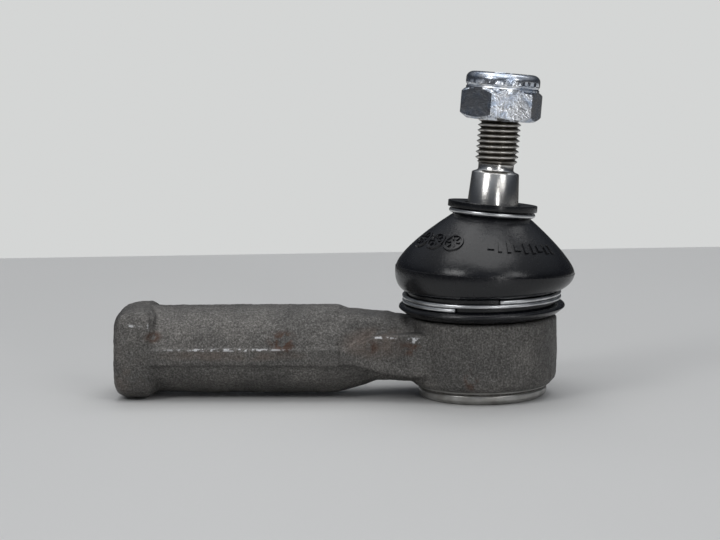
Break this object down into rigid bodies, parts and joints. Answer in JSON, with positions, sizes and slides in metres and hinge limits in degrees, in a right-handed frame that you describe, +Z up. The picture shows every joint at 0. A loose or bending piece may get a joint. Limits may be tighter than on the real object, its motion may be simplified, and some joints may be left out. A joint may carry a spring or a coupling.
{
  "type": "tie rod end",
  "caption": "Steering tie rod end with an internally threaded shank, ball joint, rubber boot, tapered stud and lock nut.",
  "frame": {"origin": "centre of the rod thread's mouth, on the shank's end face", "axes": "+X runs along the shank from the mouth to the ball joint, +Z is up along the cup's axis towards the stud, +Y is across"},
  "size_m": [0.1078, 0.0421, 0.0759],
  "materials": {
    "forged_steel": "rough forged and blasted",
    "cover_steel": "satin",
    "spring_steel": "satin",
    "seat_plastic": "moulded",
    "stud_steel": "turned and ground",
    "boot_rubber": "satin moulded",
    "ring_wire": "drawn wire",
    "nylon": "moulded",
    "zinc": "bright zinc plate"
  },
  "bodies": {
    "housing": {"housing": "forged_steel", "end_cover": "cover_steel", "preload_spring": "spring_steel", "lower_seat": "seat_plastic", "upper_seat": "seat_plastic"},
    "boot": {"dust_boot": "boot_rubber", "lower_ring": "ring_wire"},
    "boot_neck": {"upper_ring": "ring_wire"},
    "stud": {"ball_stud": "stud_steel"},
    "nut_carrier": {"nut_insert": "nylon"},
    "nut": {"lock_nut": "zinc"}
  },
  "joints": [
    {"name": "swing_direction", "type": "hinge", "parent": "housing", "child": "boot", "pos_m": [0.086, 0, 0.00355], "axis": [0, 0, 1], "continuous": true},
    {"name": "stud_tilt", "type": "hinge", "parent": "boot", "child": "boot_neck", "pos_m": [0.086, 0, 0.00355], "axis": [-0.6157, 0.788, 0], "range_deg": [-31.5, 18.5], "deforming": ["dust_boot"]},
    {"name": "stud_spin", "type": "hinge", "parent": "boot_neck", "child": "stud", "pos_m": [0.086, 0, 0.00355], "axis": [0.0892, 0.0697, 0.9936], "continuous": true},
    {"name": "nut_travel", "type": "slide", "parent": "stud", "child": "nut_carrier", "axis": [0.0892, 0.0697, 0.9936], "range_m": [-0.00877, 0.00877]},
    {"name": "nut_turn", "type": "hinge", "parent": "nut_carrier", "child": "nut", "pos_m": [0.09046, 0.00348, 0.05323], "axis": [0.0892, 0.0697, 0.9936], "range_deg": [-2520, 2520]}
  ],
  "couplings": [
    {"joint": "nut_travel", "follows": "nut_turn", "m_per_rad": 0.00019894}
  ]
}
